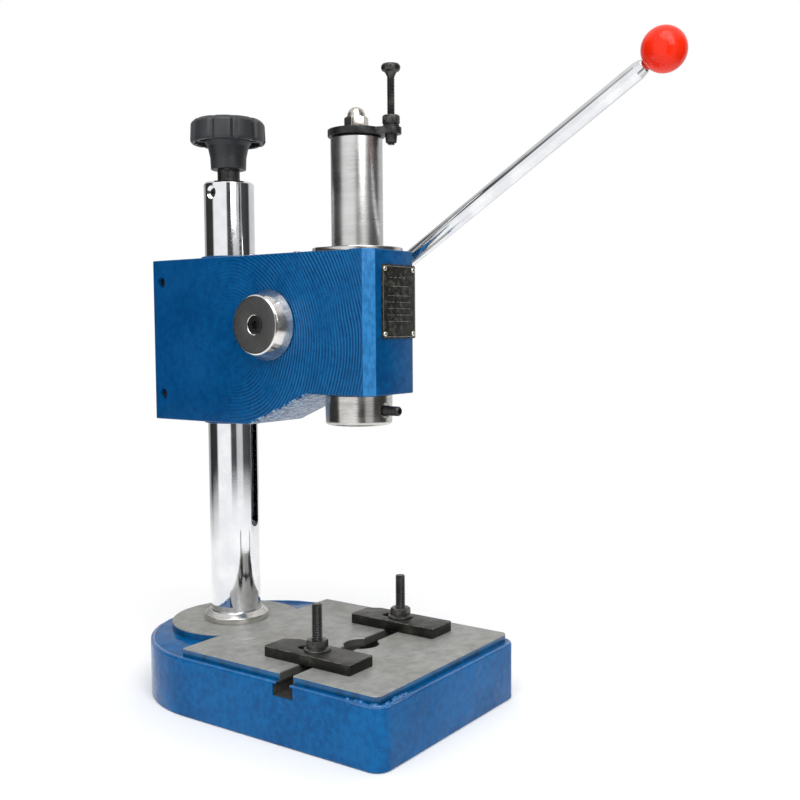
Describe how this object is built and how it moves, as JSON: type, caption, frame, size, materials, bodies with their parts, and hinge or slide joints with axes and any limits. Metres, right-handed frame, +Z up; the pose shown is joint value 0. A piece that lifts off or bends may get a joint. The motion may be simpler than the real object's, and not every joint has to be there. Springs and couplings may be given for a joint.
{
  "type": "arbor press",
  "caption": "Round-column hand arbor press: slotted base, height-adjustable head on a screw, sector-gear ram with ball-ended lever, stop bolt and T-slot work clamps.",
  "frame": {"origin": "centre of the base underside, on the bench surface", "axes": "+X is the operator's right (lever side), -Y is the front (ram side), +Z is up"},
  "size_m": [0.178, 0.4196, 0.479],
  "materials": {
    "blue_enamel": "glossy blue enamel over cast iron",
    "ground_steel": "ground steel",
    "chrome": "hard chrome, polished",
    "black_oxide": "black oxide steel",
    "nickel": "nickel plate",
    "bronze": "machined bronze",
    "spring_steel": "hardened spring steel",
    "black_plastic": "moulded phenolic, satin",
    "red_plastic": "polished phenolic",
    "nameplate": "etched plate with a blackened ground"
  },
  "bodies": {
    "base_body": {"base": "blue_enamel", "column": "chrome", "column_collar": "chrome", "column_bolt_washer": "black_oxide", "column_bolt": "black_oxide", "screw_bush": "bronze", "bush_grub_screw": "black_oxide"},
    "lift_body": {"lift_screw": "ground_steel", "thrust_collar": "black_oxide", "lock_collar": "black_oxide", "lift_knob": "black_plastic", "knob_pin": "spring_steel"},
    "head_body": {"head_casting": "blue_enamel", "gear_cover": "blue_enamel", "cover_screw_front_left": "nickel", "cover_screw_front_right": "nickel", "cover_screw_rear_left": "nickel", "cover_screw_rear_right": "nickel", "lift_nut": "bronze", "lift_pin": "spring_steel", "nameplate": "nameplate", "nameplate_rivet_upper_left": "nickel", "nameplate_rivet_upper_right": "nickel", "nameplate_rivet_lower_left": "nickel", "nameplate_rivet_lower_right": "nickel", "shaft_bush_left": "bronze", "shaft_bush_right": "bronze", "spring_anchor_pin": "spring_steel", "return_spring": "spring_steel"},
    "ram_body": {"ram": "ground_steel", "ram_stud": "ground_steel", "tool_holder": "ground_steel", "stop_plate": "black_oxide", "dome_nut": "nickel", "stop_washer": "black_oxide"},
    "lever_body": {"shaft": "ground_steel", "sector_gear": "ground_steel", "gear_key": "spring_steel", "thrust_washer_left": "bronze", "thrust_washer_right": "bronze", "spring_cap": "chrome", "cap_screw": "black_oxide", "lever_hub": "ground_steel", "hub_grub_screw": "black_oxide", "lever_rod": "chrome", "lever_ball": "red_plastic"},
    "stop_bolt_body": {"stop_bolt": "black_oxide"},
    "stop_nut_body": {"stop_lock_nut": "black_oxide"},
    "tool_screw_body": {"tool_clamp_screw": "black_oxide"},
    "upper_clamp_screw_body": {"head_clamp_screw_upper": "black_oxide"},
    "lower_clamp_screw_body": {"head_clamp_screw_lower": "black_oxide"},
    "left_clamp_body": {"clamp_bolt_left": "black_oxide"},
    "left_strap_body": {"clamp_strap_left": "black_oxide"},
    "left_nut_body": {"clamp_nut_left": "black_oxide"},
    "right_clamp_body": {"clamp_bolt_right": "black_oxide"},
    "right_strap_body": {"clamp_strap_right": "black_oxide"},
    "right_nut_body": {"clamp_nut_right": "black_oxide"}
  },
  "joints": [
    {"name": "head_slide", "type": "slide", "parent": "base_body", "child": "head_body", "axis": [0, 0, 1], "range_m": [-0.13, 0.035]},
    {"name": "knob_turn", "type": "hinge", "parent": "base_body", "child": "lift_body", "pos_m": [0, 0.0775, 0.42], "axis": [0, 0, 1], "range_deg": [-3160, 11710]},
    {"name": "lever_swing", "type": "hinge", "parent": "head_body", "child": "lever_body", "pos_m": [0, 0.0105, 0.29], "axis": [1, 0, 0], "range_deg": [0, 85], "stiffness_Nm_per_rad": 0.8, "springref_deg": -148.97},
    {"name": "ram_slide", "type": "slide", "parent": "head_body", "child": "ram_body", "axis": [0, 0, -1], "range_m": [0, 0.0698]},
    {"name": "stop_bolt_travel", "type": "slide", "parent": "ram_body", "child": "stop_bolt_body", "axis": [0, 0, 1], "range_m": [-0.025, 0.01]},
    {"name": "stop_nut_turn", "type": "hinge", "parent": "ram_body", "child": "stop_nut_body", "pos_m": [0.00619, -0.0793, 0.436], "axis": [0, 0, 1], "continuous": true},
    {"name": "tool_screw_turn", "type": "hinge", "parent": "ram_body", "child": "tool_screw_body", "pos_m": [0, -0.0725, 0.227], "axis": [0, -1, 0], "range_deg": [0, 720]},
    {"name": "upper_clamp_screw_turn", "type": "hinge", "parent": "head_body", "child": "upper_clamp_screw_body", "pos_m": [0.02, 0.126, 0.325], "axis": [1, 0, 0], "range_deg": [0, 360]},
    {"name": "lower_clamp_screw_turn", "type": "hinge", "parent": "head_body", "child": "lower_clamp_screw_body", "pos_m": [0.02, 0.126, 0.2345], "axis": [1, 0, 0], "range_deg": [0, 360]},
    {"name": "left_clamp_slide", "type": "slide", "parent": "base_body", "child": "left_clamp_body", "axis": [1, 0, 0], "range_m": [-0.02, 0.02]},
    {"name": "left_strap_swivel", "type": "hinge", "parent": "left_clamp_body", "child": "left_strap_body", "pos_m": [-0.0512, -0.0525, 0.054], "axis": [0, 0, 1], "range_deg": [-90, 90]},
    {"name": "left_nut_turn", "type": "hinge", "parent": "left_clamp_body", "child": "left_nut_body", "pos_m": [-0.0512, -0.0525, 0.062], "axis": [0, 0, 1], "continuous": true},
    {"name": "right_clamp_slide", "type": "slide", "parent": "base_body", "child": "right_clamp_body", "axis": [1, 0, 0], "range_m": [-0.02, 0.02]},
    {"name": "right_strap_swivel", "type": "hinge", "parent": "right_clamp_body", "child": "right_strap_body", "pos_m": [0.0512, -0.0525, 0.054], "axis": [0, 0, 1], "range_deg": [-90, 90]},
    {"name": "right_nut_turn", "type": "hinge", "parent": "right_clamp_body", "child": "right_nut_body", "pos_m": [0.0512, -0.0525, 0.062], "axis": [0, 0, 1], "continuous": true}
  ],
  "couplings": [
    {"joint": "knob_turn", "follows": "head_slide", "rad_per_m": -1570.8},
    {"joint": "ram_slide", "follows": "lever_swing", "m_per_rad": 0.047}
  ]
}
